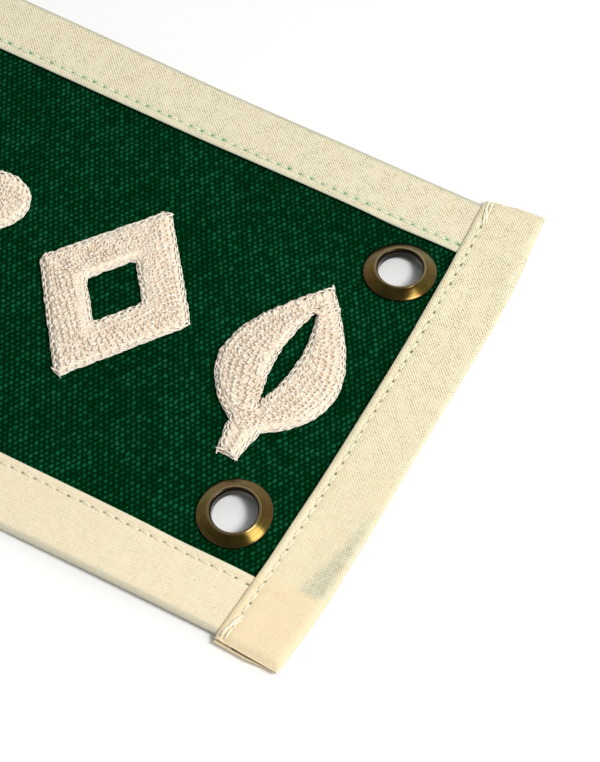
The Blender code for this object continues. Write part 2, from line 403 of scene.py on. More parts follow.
# Gap, thread and crown colours of the duck: painted shade in the gaps and painted light on the crowns,
# over the thread's own green.
DUCK_GAP = rgb(0.0002, 0.0100, 0.0014)
DUCK_THREAD = rgb(0.0005, 0.040, 0.0125)
DUCK_LIT_CROWN = rgb(0.0085, 0.098, 0.040)


def duck_finish():
    """Heavy green duck: rounded floats of the warp over dark gaps, with painted shade in the gaps and
    painted light on the crowns.
    """
    finish = Finish("green_duck", Roughness=0.95, Specular_IOR_Level=0.0)
    tint = finish.tint
    place = finish.flat()
    across, along = threads(finish, place, DUCK_X, DUCK_Y, 0.95 * MM)
    distance, chance = floats(finish, across, along, DUCK_X, DUCK_Y * 0.74)
    fibre = noise(place, 1150.0, 2.0, 0.6)
    irregular = distance * (1.74 - chance * 0.60) + (fibre - 0.5) * 1.6 * MM
    crown = 1.0 - smooth(irregular, 0.05 * MM, 1.06 * MM)
    slub = noise(stretched(place, 900.0, 120.0), 1.0)
    patch = noise(place, 45.0, 3.0)
    lit = crown * (0.34 + chance * 0.46) * (0.30 + slub * 0.95 + fibre * 0.40)
    lit = (lit + fibre * 0.22 + 0.03) * (0.62 + patch * 0.76)
    # Painted light and shade of the weave: darker in the gaps and lighter on the crowns, partly the
    # threads' own uneven tone.
    finish.colour = mix(smooth(lit, 0.0, 0.50), DUCK_GAP, DUCK_THREAD)
    tint(smooth(lit, 0.30, 0.95), DUCK_LIT_CROWN)
    height = crown * 0.9 + slub * 0.25 + fibre * 0.15
    normal = finish.bump(height, 0.20 * MM, 0.6)
    return finish.feed(Base_Color=finish.colour, Normal=normal)


TOP_BASE = rgb(0.735, 0.665, 0.475)
BOTTOM_BASE = rgb(0.800, 0.680, 0.475)
END_BASE = rgb(0.730, 0.640, 0.425)
HOLE_GREEN, HALO_GREEN = rgb(0.080, 0.16, 0.070), rgb(0.40, 0.55, 0.35)
HOLE_BROWN, HALO_CREAM = rgb(0.10, 0.09, 0.045), rgb(0.62, 0.60, 0.42)
END_LOOK = (END_BASE, (0.28, 1.10), HOLE_BROWN, HALO_CREAM, 1.1 * MM, (0.95, 1.9), 0.10)
TAPE_LOOKS = {
    "top": (TOP_BASE, (1.05, 1.05), HOLE_GREEN, HALO_GREEN, 1.9 * MM, (1.35, 1.35), 0.70),
    "bottom": (BOTTOM_BASE, (0.40, 0.40), HOLE_BROWN, HALO_CREAM, 1.0 * MM, (1.2, 1.2), 0.50),
    "right": END_LOOK,
    "left": END_LOOK,
}


def tape_finish(name, is_end, base, weave, hole_shade, halo, halo_reach, hole_stretch, fold):
    """Cream tape of a fine plain weave, with needle holes along its seam.

    weave is the strength of the weave at both ends of the tape, its crowns and ribs painted lighter and
    its gaps darker as painted light and shade, hole_stretch how far the needle holes are drawn out along
    the seam there, halo the colour round them, and fold the strength of the cooler tone painted along the
    folds, as painted shade where the outer fold turns away from the light and as a grey-green rim along
    the inner edge. An end strip is warmer over the lower corner, greyer above it.
    """
    finish = Finish(name, Roughness=0.85, Specular_IOR_Level=0.12)
    tint = finish.tint
    place = finish.flat()
    x, y, _ = finish.split(place)
    across, along = threads(finish, place, TAPE_PITCH, TAPE_PITCH, 0.42 * MM)
    distance, chance = floats(finish, across, along, TAPE_PITCH, TAPE_PITCH)
    gap = smooth(distance, 0.36 * TAPE_PITCH, 0.98 * TAPE_PITCH)
    crown = 1.0 - smooth(distance, 0.08 * TAPE_PITCH, 0.62 * TAPE_PITCH)
    grain = noise(stretched(place, 220.0, 1700.0), 1.0) * 0.5
    grain = grain + noise(stretched(place, 1700.0, 220.0), 1.0) * 0.5
    fleck = noise(place, 1250.0, 1.0)
    end = smooth(x, -0.065, 0.035)
    strength = end * (weave[1] - weave[0]) + weave[0]
    warm = smooth(noise(place, 105.0, 3.0, 0.65), 0.45, 0.72)
    cool = smooth(noise(stretched(place, 1.3, 0.8), 135.0, 3.0), 0.47, 0.72)
    finish.colour = base
    tint(warm * 0.45, rgb(0.83, 0.65, 0.43))
    tint(cool * 0.40, rgb(0.70, 0.68, 0.46))
    lines = smooth(grain, 0.42, 0.62)
    tint(lines * 0.30, rgb(0.90, 0.84, 0.64))
    # Painted light and shade of the weave: the floats' crowns and ribs lighter and the rows between
    # darker, partly the threads' own tone.
    tint(crown * (0.2 + chance * 0.5) * strength, rgb(0.93, 0.86, 0.64))
    rib = finish.math("COSINE", (across + along) * pi) * 0.5 + 0.5
    tint((1.0 - rib) * 0.24 * strength, rgb(0.52, 0.46, 0.30))
    tint(rib * 0.42 * strength, rgb(0.97, 0.90, 0.68))
    irregular = smooth(noise(place, 210.0), 0.28, 0.62) * 1.05 + 0.30
    dark = gap * (0.15 + chance * 0.85) * smooth(fleck, 0.30, 0.62) * strength * irregular
    gap_shade = mix(warm, rgb(0.20, 0.185, 0.080), rgb(0.31, 0.21, 0.085))
    if is_end:
        uneven = x + (noise(place, 300.0) - 0.5) * 3.0 * MM
        corner = 1.0 - smooth(uneven, -67.5 * MM, -62.5 * MM)
        tint(corner * 0.85, rgb(0.81, 0.66, 0.43))
        sunk = smooth(uneven, -66.5 * MM, -63.0 * MM)
        sunk = sunk * (1.0 - smooth(x, -48.0 * MM, -12.0 * MM))
        begins = y - (x + 62.0 * MM) * 0.20 + uneven - x
        sunk = sunk * smooth(begins, 9.0 * MM, 12.5 * MM)
        sunk = sunk * (1.0 - smooth(y, 16.2 * MM, 18.0 * MM) * 0.8)
        tint(sunk * 0.64, rgb(0.58, 0.57, 0.44))
        dark = dark + sunk * gap * 0.75 * chance * irregular
    tint(dark, gap_shade)
    # Painted shade along the outer fold, where it turns away from the light, and a cooler grey-green rim
    # along the inner edge.
    outer = smooth(y, BINDING - SEAM_AT - 2.2 * MM, BINDING - SEAM_AT - 0.8 * MM)
    tint(outer * fold, rgb(0.42, 0.44, 0.36))
    inner = 1.0 - smooth(y, -SEAM_AT, -SEAM_AT + 1.1 * MM)
    tint(inner * fold, rgb(0.62, 0.66, 0.50))
    number = finish.math("ROUND", x / STITCH)
    stitch = finish.add("ShaderNodeTexWhiteNoise", {"noise_dimensions": "1D"}, {"W": number})
    ragged = noise(place, 620.0) - 0.5
    turn = finish.math("PINGPONG", x + 0.3 * MM * (stitch - 0.5), STITCH / 2.0) + ragged * 1.2 * MM
    turn = turn / (end * (hole_stretch[1] - hole_stretch[0]) + hole_stretch[0])
    beside = finish.math("ABSOLUTE", y - (stitch - 0.5) * 0.3 * MM) * 1.35 + ragged * 0.7 * MM
    hole = finish.math("SQRT", turn * turn + beside * beside)
    ring = (1.0 - smooth(hole, 0.40 * MM, halo_reach)) * (0.55 + stitch * 0.45)
    core = (1.0 - smooth(hole, 0.15 * MM, 0.62 * MM)) * (0.55 + stitch * 0.45)
    tint(ring * 0.92, halo)
    tint(core * 0.95, hole_shade)
    height = (1.0 - gap) * 0.6 * strength + grain * 0.6 + fleck * 0.3 - core * 1.5
    normal = finish.bump(height, 0.10 * MM, 0.8)
    return finish.feed(Base_Color=finish.colour, Normal=normal)


def yarn_finish():
    """Cotton yarn: whiter in the outlines, beige in the fill, with twisted fibres."""
    finish = Finish("cream_yarn", Roughness=0.8, Specular_IOR_Level=0.2)
    tint = finish.tint
    tone = finish.add("ShaderNodeAttribute", {"attribute_name": "tone"}, None, 2)
    place = finish.objects()
    patch = noise(place, 160.0)
    finish.colour = mix(tone, rgb(0.79, 0.645, 0.495), rgb(0.93, 0.87, 0.755))
    tint(smooth(patch, 0.4, 0.75) * 0.45, rgb(0.90, 0.76, 0.60))
    fibre = noise(place, 2600.0)
    tint(smooth(fibre, 0.5, 0.8) * 0.35, rgb(0.96, 0.92, 0.84))
    normal = finish.bump(fibre, 0.06 * MM, 0.8)
    return finish.feed(Base_Color=finish.colour, Normal=normal)


def pad_finish():
    """The under-layer of yarn, mostly hidden by the stitches."""
    finish = Finish("yarn_underlay", Roughness=0.9, Specular_IOR_Level=0.1)
    place = finish.objects()
    strand = noise(place, 1500.0)
    colour = mix(strand, rgb(0.80, 0.65, 0.49), rgb(0.93, 0.83, 0.68))
    return finish.feed(Base_Color=colour, Normal=finish.bump(strand, 0.25 * MM, 0.9))


def thread_finish(name, colour, shade):
    finish = Finish(name, Roughness=0.6, Specular_IOR_Level=0.3)
    fibre = noise(finish.objects(), 2400.0, 2.0)
    mixed = mix(fibre, shade, colour)
    return finish.feed(Base_Color=mixed, Normal=finish.bump(fibre, 0.04 * MM, 0.7))


def brass_finish():
    """Antique brass, olive and rusty in places; the bead is lighter, partly rubbed brass and partly a
    painted highlight, and the lip and bore are painted dark as shade and dim reflection.
    """
    finish = Finish("antique_brass", Metallic=1.0, Coat_Roughness=0.15)
    tint = finish.tint
    radius, level, _ = finish.split(finish.flat())
    place = finish.objects()
    x, y, _ = finish.split(place)
    tarnish = noise(place, 190.0, 4.0, 0.6)
    stain = noise(place, 140.0, 3.0, 0.6)
    turned = noise(finish.joined(radius * 5200.0, x * 110.0, y * 110.0), 1.0, 2.0)
    off_bead = finish.math("ABSOLUTE", radius - (BORE + 0.92 * MM))
    bead = 1.0 - smooth(off_bead, 0.15 * MM, 0.55 * MM)
    lip = 1.0 - smooth(radius, BORE + 0.48 * MM, BORE + 0.72 * MM)
    wall = 1.0 - smooth(level, CREST - 0.80 * MM, CREST - 0.40 * MM)
    wall = wall * (1.0 - smooth(radius, BORE + 0.05 * MM, BORE + 0.2 * MM))
    aged = smooth(tarnish * 0.75 + turned * 0.25, 0.32, 0.68)
    finish.colour = mix(aged, rgb(0.066, 0.036, 0.0010), rgb(0.120, 0.084, 0.009))
    tint(smooth(stain, 0.50, 0.72) * 0.6, rgb(0.12, 0.038, 0.002))
    tint(smooth(stain, 0.50, 0.30) * 0.5, rgb(0.078, 0.076, 0.008))
    tint(smooth(turned, 0.4, 0.8) * 0.22, rgb(0.20, 0.14, 0.04))
    # The bead is lighter all round: partly rubbed brass, partly a painted highlight.
    tint(bead * 0.7, rgb(0.32, 0.24, 0.12))
    edge = smooth(radius, RIM - 0.9 * MM, RIM)
    tint(edge * 0.55, rgb(0.09, 0.040, 0.012))
    # Painted shade and dark reflection on the lip, and painted shade over the barrel's own grey metal
    # down the bore.
    tint(lip * 0.95, rgb(0.020, 0.015, 0.010))
    tint(wall, rgb(0.028, 0.026, 0.022))
    scuff = noise(place, 1400.0, 3.0)
    rough = 0.10 + tarnish * 0.10 + scuff * 0.04 + turned * 0.04
    normal = finish.bump(scuff * 0.6 + tarnish * 0.6 + turned * 0.8, 0.02 * MM, 0.35)
    coat = (1.0 - lip) * (1.0 - wall) * 0.32
    return finish.feed(Base_Color=finish.colour, Roughness=rough, Normal=normal, Coat_Weight=coat)


def floor_finish():
    finish = Finish("pale_paper", Roughness=0.7, Specular_IOR_Level=0.0)
    grain = noise(finish.objects(), 30.0, 2.0)
    colour = mix(grain, rgb(0.90, 0.90, 0.90), rgb(0.92, 0.92, 0.92))
    return finish.feed(Base_Color=colour)


# ---- mesh helpers


def linked(name, data):
    item = bpy.data.objects.new(name, data)
    bpy.context.collection.objects.link(item)
    return item


def new_object(name, bm, material, smooth_degrees=50.0):
    mesh = bpy.data.meshes.new(name)
    bmesh.ops.recalc_face_normals(bm, faces=bm.faces)
    bm.to_mesh(mesh)
    bm.free()
    mesh.materials.append(material)
    mesh.shade_smooth()
    mesh.set_sharp_from_angle(angle=radians(smooth_degrees))
    return linked(name, mesh)


def closed_line(bm, places):
    verts = [bm.verts.new(place) for place in places]
    for pair in zip(verts, verts[1:] + verts[:1]):
        bm.edges.new(pair)


def level_at(faces, height):
    for vert in {vert for face in faces for vert in face.verts}:
        vert.co.z = height


def rod(bm, segments, radius, depth, matrix):
    size = {"radius1": radius, "radius2": radius, "depth": depth}
    bmesh.ops.create_cone(bm, cap_ends=True, segments=segments, matrix=matrix, **size)


def spin_round(bm, steps, join):
    """Turns what is drawn so far once round the Z axis."""
    turn = {"axis": (0.0, 0.0, 1.0), "cent": (0.0, 0.0, 0.0), "angle": 2.0 * pi, "use_merge": True}
    bmesh.ops.spin(bm, geom=bm.verts[:] + bm.edges[:], steps=steps, **turn)
    bmesh.ops.remove_doubles(bm, verts=bm.verts, dist=join)


def settled_mesh(item):
    """Applies the modifiers of an object to its mesh."""
    graph = bpy.context.evaluated_depsgraph_get()
    mesh = bpy.data.meshes.new_from_object(item.evaluated_get(graph), depsgraph=graph)
    mesh.name = item.name
    item.modifiers.clear()
    item.data = mesh


def cloth(name, columns, rows, place, flat, material, thickness):
    """A closed sheet: a grid whose point (i, j) lies at place(i, j), with flat(i, j) in its UV map."""
    bm = bmesh.new()
    bmesh.ops.create_grid(bm, x_segments=columns, y_segments=rows, size=1.0)
    uv = bm.loops.layers.uv.new("flat")
    index = {}
    for vert in bm.verts:
        i = round((vert.co.x + 1.0) / 2.0 * columns)
        j = round((vert.co.y + 1.0) / 2.0 * rows)
        index[vert] = (i, j)
    for face in bm.faces:
        for loop in face.loops:
            loop[uv].uv = flat(*index[loop.vert])
    for vert, (i, j) in index.items():
        vert.co = place(i, j)
    bm.normal_update()
    bmesh.ops.solidify(bm, geom=bm.faces[:], thickness=thickness)
    return new_object(name, bm, material, 70.0)


def spread(start, end, count):
    return [start + (end - start) * i / count for i in range(count + 1)]


def belongs(item, slot, *nodes):
    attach(item, "root")
    if nodes:
        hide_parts(*nodes)


# ---- ground cloth


def ground_cloth(material):
    columns, rows = 176, 58
    across = spread(-FIELD_REACH, FIELD_REACH, columns)
    along = spread(-FIELD_TOP, FIELD_TOP, rows)

    def place(i, j):
        return lay(across[i], along[j], 0.0)

    def flat(i, j):
        return across[i], along[j]

    ground = cloth("ground_cloth", columns, rows, place, flat, material, PLY)
    for name, (x, y) in EYELETS.items():
        bm = bmesh.new()
        rod(bm, 48, BARREL + 0.2 * MM, 8.0 * PLY, eyelet_seat(x, y))
        cutter = new_object("hole_" + name, bm, material)
        hole = ground.modifiers.new(name, "BOOLEAN")
        hole.operation = "DIFFERENCE"
        hole.solver = "EXACT"
        hole.object = cutter
        settled_mesh(ground)
        bpy.data.objects.remove(cutter, do_unlink=True)
    belongs(ground, "field", "field")
    return ground


# ---- bindings


def tape_height(out, ridge):
    """Height of a front leg's face above the ground cloth's face, across the tape."""
    height = TAPE_FLAT + HEM_RISE * (1.0 - ease(out, HEM, HEM_END))
    height += ridge * hump(out, RIDGE_AT, 1.75 * MM)
    return height - SEAM_DIP * hump(out, SEAM_AT, 1.2 * MM)


class Tape:
    """A strip folded round one edge. Its section runs from one turned-in hem to the other."""

    SEAM_POINT = 11  # of the section

    def __init__(self, edge, side, is_end):
        self.edge = edge
        self.side = side
        self.is_end = is_end
        self.ridge = END_RIDGE_RISE if is_end else RIDGE_RISE
        self.reach = HEIGHT / 2.0 if is_end else FIELD_REACH
        self.places = spread(-self.reach, self.reach, round(2.0 * self.reach / STITCH * STITCH_COLUMNS))
        if is_end:
            ends = [self.reach - 0.35 * MM, self.reach - 0.8 * MM, self.reach - 1.6 * MM]
            self.places = sorted(self.places + ends + [-along for along in ends])
        self.inner_edge = (LENGTH if is_end else HEIGHT) / 2.0 - BINDING
        self.sections = [self.section(along) for along in self.places]
        middle = self.lengths(self.sections[len(self.places) // 2])
        self.width = middle[-1] - middle[0]

    def front_lift(self, along):
        """The end strips climb over the long ones, whose hem shows through them."""
        if not self.is_end:
            return 0.0
        out = max(abs(along) - (HEIGHT / 2.0 - BINDING), 1.2 * MM)
        return ease(abs(along), LIFT_FROM, FRONT_LIFTED) * (tape_height(out, RIDGE_RISE) + 0.02 * MM)

    def back_lift(self, along):
        return STEP * ease(abs(along), LIFT_FROM, BACK_LIFTED) if self.is_end else 0.0

    def closing(self, along):
        """0 to 1: the legs of an end strip come together where nothing lies between them."""
        return ease(abs(along), self.reach - 2.4 * MM, self.reach) if self.is_end else 0.0

    def dimple(self, along, out):
        """The needle draws the tape in at each hole of the seam."""
        phase = abs((along / STITCH + 0.5) % 1.0 - 0.5) * STITCH
        near = hump(phase, 0.0, 1.4 * MM) * hump(out, SEAM_AT, 1.2 * MM)
        puff = hump(out, RIDGE_AT, 1.5 * MM) * sin(along * 2.0 * pi / (STITCH * 2.6))
        puff += hump(out, RIDGE_AT, 1.5 * MM) * hump(phase, STITCH / 2.0, 1.8 * MM)
        return HOLE_DIP * (puff * 0.35 - near)

    def section(self, along):
        """(distance from the inner edge, height above the ground cloth's underside) points."""
        closing = self.closing(along)
        low = PLY + 0.02 * MM + self.front_lift(along) - END_CLOSE * closing
        points = [(out, low) for out in (HEM, 3.0 * MM, 0.50 * MM)]
        points += [(0.12 * MM, low + 0.08 * MM), (0.0, low + 0.30 * MM), (0.10 * MM, low + 0.54 * MM)]
        outs = (0.42, 0.9, 1.45, 2.0, 2.6, 3.1, 3.6, 4.3, 5.4, 7.0, 9.0, 12.0, 15.5, 18.5)
        for out in outs:
            rise = tape_height(out * MM, self.ridge) + self.dimple(along, out * MM)
            points.append((out * MM, low - 0.02 * MM + rise))
        top = low - 0.02 * MM + TAPE_FLAT
        bottom = -STEP - self.back_lift(along) + END_RISE * closing
        radius = (top - bottom) / 2.0
        for turn in spread(0.5 * pi, -0.5 * pi, 7):
            out = BINDING - radius + radius * cos(turn)
            points.append((out, (top + bottom) / 2.0 + radius * sin(turn)))
        points += [(out * MM, bottom) for out in (18.0, 12.0, 7.0, 4.0, 2.0, 0.6)]
        hem = ((0.12, 0.10), (0.0, 0.34), (0.12, 0.58))
        points += [(out * MM, bottom + rise * MM) for out, rise in hem]
        points += [(out, bottom + 0.68 * MM) for out in (0.6 * MM, 3.0 * MM, HEM)]
        return points

    def lengths(self, section):
        """Distance of each section point from the seam of the front leg, along the tape."""
        points = [Vector(point) for point in section]
        travelled = [0.0]
        for before, after in zip(points, points[1:]):
            travelled.append(travelled[-1] + (after - before).length)
        return [length - travelled[self.SEAM_POINT] for length in travelled]

    def past(self, along, out, is_back=False):
        """How far an end strip reaches beyond its place in the flat pattern."""
        if not self.is_end:
            return 0.0
        corner = OVERHANG_TOP if along > 0.0 else OVERHANG_BOTTOM
        reach = OVERHANG_SEAM + (corner - OVERHANG_SEAM) * out / BINDING
        if along > 0.0:
            reach += END_CROWN * hump(out, 0.55 * BINDING, 0.55 * BINDING)
        if is_back:
            reach += BACK_SHOWS * (1.0 - ease(out, 11.5 * MM, 14.5 * MM))
        return copysign(reach * ease(abs(along), self.reach - OVERHANG_FROM, self.reach), along)

    def place(self, along, out, height, is_back=False):
        if not self.is_end:
            return lay(along, self.side * (self.inner_edge + out), height)
        spot = lay(self.side * (self.inner_edge + out), along, height)
        spot.y += self.past(along, out, is_back)
        return spot

    def seam_point(self, along, aside=0.0):
        out = SEAM_AT + aside
        height = PLY + self.front_lift(along) + tape_height(out, self.ridge)
        return self.place(along, out, height)

    def build(self, material):
        """The strip as one sheet; the map of its flat pattern follows the lengths along it."""
        rows = len(self.sections[0]) - 1
        middle = rows - 12
        lengths = [self.lengths(section) for section in self.sections]

        def place(i, j):
            return self.place(self.places[i], *self.sections[i][j], j > middle)

        def flat(i, j):
            past = self.past(self.places[i], self.sections[i][j][0], j > middle)
            return self.places[i] + past, lengths[i][j]

        columns = len(self.places) - 1
        inward = TAPE if (self.side > 0.0) != self.is_end else -TAPE
        return cloth("tape_" + self.edge, columns, rows, place, flat, material, inward)


# ---- copies on points


def scatter(name, template, spots, material):
    """One mesh with a copy of the template at every spot: (place, turn, scale, tone)."""
    mesh = bpy.data.meshes.new(name)
    mesh.vertices.add(len(spots))
    for attribute, kind in (("turn", "FLOAT_VECTOR"), ("size", "FLOAT_VECTOR"), ("tone", "FLOAT")):
        mesh.attributes.new(attribute, kind, "POINT")
    turns, sizes, tones = (mesh.attributes[attribute].data for attribute in ("turn", "size", "tone"))
    for i, (place, turn, size, tone) in enumerate(spots):
        mesh.vertices[i].co = place
        turns[i].vector = turn
        sizes[i].vector = size
        tones[i].value = tone
    item = linked(name, mesh)
    group = bpy.data.node_groups.new(name + "_copies", "GeometryNodeTree")
    for way in ("INPUT", "OUTPUT"):
        group.interface.new_socket("Geometry", in_out=way, socket_type="NodeSocketGeometry")
    nodes = Nodes(group)
    points = nodes.add("NodeGroupInput")
    source = nodes.add("GeometryNodeObjectInfo", None, {"Object": template}, "Geometry")
    vector = {"data_type": "FLOAT_VECTOR"}
    turn, size = (
        nodes.add("GeometryNodeInputNamedAttribute", vector, {"Name": attribute}, "Attribute")
        for attribute in ("turn", "size")
    )
    turn = nodes.add("FunctionNodeEulerToRotation", None, {0: turn})
    inputs = {"Points": points, "Instance": source, "Rotation": turn, "Scale": size}
    copies = nodes.add("GeometryNodeInstanceOnPoints", None, inputs)
    solid = nodes.add("GeometryNodeRealizeInstances", None, {0: copies})
    group.links.new(solid.socket, group.nodes.new("NodeGroupOutput").inputs[0])
    item.modifiers.new("copies", "NODES").node_group = group
    settled_mesh(item)
    item.data.materials.clear()
    item.data.materials.append(material)
    item.data.shade_smooth()
    return item


def link_template():
    """One link of chain stitch, 1 long and 1 wide: a loop that is pinched at its tail."""
    bm = bmesh.new()
    bmesh.ops.create_circle(bm, segments=4, radius=0.5)
    bmesh.ops.rotate(bm, verts=bm.verts, matrix=Matrix.Rotation(pi / 2.0, 3, "X"))
    thick = 0.36
    for vert in bm.verts:
        vert.co.x = vert.co.x * thick + 0.5 - thick / 2.0
    spin_round(bm, 9, 1e-5)
    for vert in bm.verts:
        tail = ease(-vert.co.x, -0.1, 0.5)
        vert.co.y *= 1.0 - 0.62 * tail
        vert.co.z -= 0.55 * tail
        vert.co.z += 0.35 * ease(vert.co.x, 0.0, 0.5)
    return new_object("link_template", bm, bpy.data.materials["cream_yarn"])


def thread_template():
    """One stitch of sewing thread, 1 long, whose two ends dip into the cloth."""
    bm = bmesh.new()
    rod(bm, 6, 0.5, 1.0, Matrix.Rotation(pi / 2.0, 4, "Y"))
    along = [edge for edge in bm.edges if abs(edge.verts[0].co.x - edge.verts[1].co.x) > 0.5]
    bmesh.ops.subdivide_edges(bm, edges=along, cuts=5)
    for vert in bm.verts:
        end = ease(abs(vert.co.x), 0.22, 0.5)
        vert.co.z = vert.co.z * (1.0 - 0.35 * end) - 1.1 * end
        vert.co.y *= 1.0 - 0.35 * end
    return new_object("thread_template", bm, bpy.data.materials["cream_thread"])


# ---- eyelets


def eyelet_seat(x, y):
    lean = copysign(LEAN, y)
    turn = Matrix.Rotation(copysign(EYELET_TILT, -x), 4, "Y") @ Matrix.Rotation(-lean, 4, "X")
    return Matrix.Translation(lay(x, y, PLY / 2.0)) @ turn


def eyelet(name, x, y, material):
    """A domed flange with a bead round the bore, a barrel and a flat back flange, turned in one."""
    face = PLY / 2.0
    back = face + BACK_FLANGE
    profile = [(BORE, -0.5 * MM)]
    profile += [(BORE + out * MM, face + CREST - drop * MM) for out, drop in FLANGE]
    profile += [(RIM - 0.02 * MM, face + 0.12 * MM), (RIM - 0.06 * MM, face - 0.30 * MM)]
    profile += [(BARREL, face), (BARREL, -face), (BACK_RIM + 0.1 * MM, -face)]
    profile += [(BACK_RIM + 0.3 * MM, -face - BACK_FLANGE / 2.0), (BACK_RIM, -back)]
    profile += [(BORE + 0.6 * MM, -back), (BORE, -face - BACK_FLANGE / 2.0)]
    bm = bmesh.new()
    closed_line(bm, [(radius, 0.0, z) for radius, z in profile])
    spin_round(bm, 96, 1e-6)
    uv = bm.loops.layers.uv.new("flat")
    for face_of in bm.faces:
        for loop in face_of.loops:
            spot = loop.vert.co
            loop[uv].uv = (hypot(spot.x, spot.y), spot.z)
    bm.transform(eyelet_seat(x, y))
    belongs(new_object("brass_" + name, bm, material, 40.0), "eyelet", "eyelet_" + name)


# ---- embroidery


def upright(turn):
    """The direction at a clockwise turn from straight up."""
    return Vector((sin(turn), cos(turn)))


def right_of(ahead):
    return Vector((ahead.y, -ahead.x))


def rounded(points, radius):
    """The outline with each corner replaced by a short curve."""
    result = []
    for before, corner, after in zip(points[-1:] + points[:-1], points, points[1:] + points[:1]):
        start = corner + (before - corner).normalized() * radius
        end = corner + (after - corner).normalized() * radius
        for t in spread(0.0, 1.0, 4):
            result.append(start * (1 - t) ** 2 + corner * 2 * t * (1 - t) + end * t**2)
    return result


def winding(points):
    """1 for an outline that runs anticlockwise, and -1 otherwise."""
    area = sum(a.x * b.y - b.x * a.y for a, b in zip(points, points[1:] + points[:1]))
    return copysign(1.0, area)


def inset(points, distance):
    """The outline moved inwards, with its corners mitred; a hole's distance is negative."""
    result = []
    sign = winding(points)
    for before, here, after in zip(points[-1:] + points[:-1], points, points[1:] + points[:1]):
        first = (here - before).normalized()
        second = (after - here).normalized()
        middle = Vector((-first.y - second.y, first.x + second.x)) * sign
        if middle.length < 1e-6:
            middle = Vector((-first.y, first.x)) * sign
        middle.normalize()
        share = max(middle.dot(Vector((-first.y, first.x)) * sign), 0.5)
        result.append(here + middle * distance / share)
    return result


def paced(points, spacing, closed):
    """Points at an even spacing along a line, each with the line's direction there."""
    line = points + points[:1] if closed else points
    lengths = [(b - a).length for a, b in zip(line, line[1:])]
    total = sum(lengths)
    count = max(round(total / spacing), 1)
    result = []
    for k in range(count):
        goal = total * (k + 0.5) / count
        index = 0
        while index < len(lengths) - 1 and goal > lengths[index]:
            goal -= lengths[index]
            index += 1
        a, b = line[index], line[index + 1]
        result.append((a + (b - a) * goal / max(lengths[index], 1e-9), (b - a).normalized()))
    return result


def fill_rows(start, end):
    """Places from start to end, one row of fill apart."""
    while start < end:
        yield start
        start += FILL_STEP


def star():
    shift = -STAR_REACH * (1.0 - cos(pi / 5.0)) / 2.0
    waist = STAR_REACH * STAR_WAIST
    outline = []
    for i in range(10):
        reach = waist if i % 2 else STAR_REACH
        turn = pi * i / 5.0
        outline.append(Vector((reach * sin(turn), shift + reach * cos(turn))))
    shoulder = waist * cos(pi / 5.0)
    widest = waist * sin(pi / 5.0)

    def half(a):
        if a < shoulder:
            return widest * a / shoulder
        return widest * (STAR_REACH - a) / (STAR_REACH - shoulder)

    slant = FILL_MARGIN / cos(atan2(widest, STAR_REACH - shoulder))
    rungs = []
    for i in range(5):
        turn = 2.0 * pi * i / 5.0
        ahead = upright(turn)
        aside = right_of(ahead)
        centre = Vector((0.0, shift))
        for a in fill_rows(2.0 * MM, STAR_REACH - 9.0 * MM):
            wide = half(a) - (slant if a > shoulder else slant * ease(a, 0.45 * shoulder, shoulder))
            middle = centre + ahead * a
            rungs.append((middle - aside * wide, middle + aside * wide, ahead))
        notch = upright(turn + pi / 5.0)
        for start in (1.5 * MM, 2.6 * MM):
            across = right_of(notch) * (start - 2.05 * MM) * 1.3
            end = centre + notch * (waist - FILL_MARGIN * 0.9) + across
            rungs.append((centre + notch * start + across, end, Vector((0.0, 0.0))))
    return [rounded(outline, STAR_ROUND)], rungs


def flower():
    def reach(turn):
        fullness = abs(cos(turn * FLOWER_PETALS / 2.0)) ** 0.7
        return FIGURE_HEIGHT / 2.0 * (1.0 - FLOWER_NOTCH * (1.0 - fullness))

    turns = [2.0 * pi * i / FLOWER_POINTS for i in range(FLOWER_POINTS)]
    outer = [upright(turn) * reach(turn) for turn in turns]
    inner = [upright(2.0 * pi * i / 24) * FLOWER_EYE for i in range(24)]
    rungs = []
    sector = pi / FLOWER_PETALS
    for i in range(FLOWER_PETALS):
        turn = 2.0 * sector * i
        ahead = upright(turn)
        aside = right_of(ahead)
        for a in fill_rows(FLOWER_EYE + 3.2 * MM, FIGURE_HEIGHT / 2.0 - FILL_MARGIN - 0.9 * MM):
            wide = a * tan(sector)
            for step in spread(0.0, sector, 30):
                if reach(step) * cos(step) < a + FILL_MARGIN * 0.8:
                    wide = min(wide, a * tan(step) - FILL_MARGIN * 0.35)
                    break
            if wide > 0.6 * MM:
                middle = ahead * a
                rungs.append((middle - aside * wide, middle + aside * wide, -ahead))
    return [outer, inner], rungs


def diamond():
    half_width, half_height = DIAMOND_WIDTH / 2.0, DIAMOND_HEIGHT / 2.0
    depth = half_width * half_height / hypot(half_width, half_height)
    share = 1.0 - DIAMOND_STROKE / depth
    corners = [(0.0, half_height), (half_width, 0.0), (0.0, -half_height), (-half_width, 0.0)]
    outer = [Vector(corner) for corner in corners]
    inner = [corner * share for corner in outer]
    margin = FILL_MARGIN / depth
    far, near = 1.0 - margin, share + margin
    rungs = []
    for start, end in zip(outer, outer[1:] + outer[:1]):
        length = (end - start).length * (far + near) / 2.0
        count = round(length / FILL_STEP)
        for k in range(count):
            spot = start + (end - start) * k / count
            rungs.append((spot * near, spot * far, (end - start).normalized()))
    return [rounded(outer, DIAMOND_ROUND), rounded(inner, DIAMOND_ROUND * 0.6)], rungs


